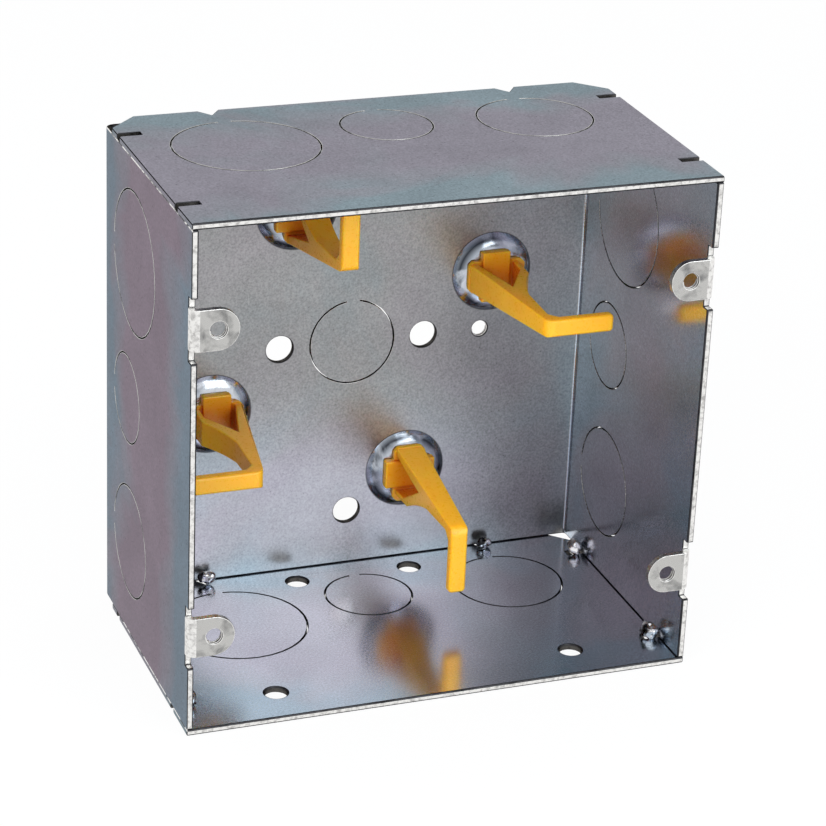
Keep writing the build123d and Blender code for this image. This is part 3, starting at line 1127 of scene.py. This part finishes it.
weld_marks = {node: loose_boxes(node) for node in ("top_welds", "bottom_welds")}
print("weld marks:", {node: len(boxes) for node, boxes in weld_marks.items()})

# %% Lay the weld beads
SIDE_BEAD = 0.85
BACK_BEAD = 0.62
BACK_ZONE = 30.0 * MM
BEAD_SINK = 0.6 * MM
OUTER_ZONE = 4.0 * MM
FIRST_SEED = 3.0


def sunk(middle):
    """A bead's middle, moved in from the outer faces that it is near."""
    spot = middle.copy()
    for axis in range(3):
        if middle[axis] - cad_box[0][axis] < OUTER_ZONE:
            spot[axis] += BEAD_SINK
        if cad_box[1][axis] - middle[axis] < OUTER_ZONE:
            spot[axis] -= BEAD_SINK
    return spot


for count, (node, boxes) in enumerate(weld_marks.items()):
    middles = [sunk(middle) for middle, half in boxes]
    halves = [half * (BACK_BEAD if middle.y > BACK_ZONE else SIDE_BEAD) for middle, half in boxes]
    lumps_piece = run_tree(node + "_dressed", middles, halves, beads, {
        "Roundness": 5,
        "Lump Height": 3.0 * MM,
        "Lump Scale": 300.0,
        "Seed": FIRST_SEED + count,
        "Finish": weld_skin,
    })
    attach(lumps_piece, "root")
    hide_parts(node)
    print(lumps_piece.name, "has", len(boxes), "beads,", len(lumps_piece.data.polygons), "faces")

# %% [markdown]
# ## Screw threads
# The four cover ears and the ground hole are tapped for screws. A thread is a ridge that winds round
# the hole, so a node tree sweeps a small round along a spiral and puts one in each hole. A bump
# pattern could fake it, but not the light that falls through between the turns.

# %% Thread tree
ALONG_HOLE = (math.pi / 2, 0.0, 0.0)

threads, asked, given = start_tree("screw_threads", {
    "Turns": "Float", "Ridge": "Float", "Finish": "Material"})
coil_size = {"Start Radius": 1.0, "End Radius": 1.0, "Height": 2.0}
coil_turns = {"Resolution": 28, "Rotations": asked["Turns"]}
coil = add(threads, "GeometryNodeCurveSpiral", {**coil_size, **coil_turns})
wound = grow_on_points(threads, asked["Geometry"], coil.outputs[0], ALONG_HOLE)
ridge = add(threads, "GeometryNodeCurvePrimitiveCircle", {"Resolution": 5, "Radius": asked["Ridge"]})
swept_inputs = {"Curve": wound, "Profile Curve": ridge.outputs[0], "Fill Caps": True}
swept = add(threads, "GeometryNodeCurveToMesh", swept_inputs).outputs[0]
close_tree(threads, given, swept, asked["Finish"])

# %% [markdown]
# ## Winding the threads
# Each spiral starts at the inner end of its hole and winds towards the front, so a thread needs the
# place of that end and the hole's radius. The ridge has a radius of a fifth of a millimetre, and it
# stays inside the thickness of the sheet, so that nothing stands out of the holes.

# %% Wind the threads
RIDGE = 0.2 * MM
TURNS = 1.5
EAR_HOLE = 2.0 * MM
GROUND_HOLE = 2.15 * MM
GROUND_PLACE = 34.4 * MM
half_thread = SHEET / 2 - RIDGE
holes = [(side * EAR_REACH, front + SHEET - RIDGE, BOX_MIDDLE.z + level * EAR_RISE)
         for side in (-1, 1) for level in (-1, 1)]
radii = [(EAR_HOLE, EAR_HOLE, half_thread)] * len(holes)
holes.append((GROUND_PLACE, inner_back + SHEET - RIDGE, BOX_MIDDLE.z))
radii.append((GROUND_HOLE, GROUND_HOLE, half_thread))
thread_values = {"Turns": TURNS, "Ridge": RIDGE, "Finish": cut_steel_and_highlight}
thread_piece = run_tree("tapped_threads", holes, radii, threads, thread_values)
depths = [vert.co.y / MM for vert in thread_piece.data.vertices]
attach(thread_piece, "root")
print("threads:", len(holes), "holes, y from", round(min(depths), 2), "to", round(max(depths), 2), "mm")

# %% [markdown]
# Colours are shown plainly, with no film look over them.

# %% Finish
bpy.context.scene.view_settings.view_transform = "Standard"
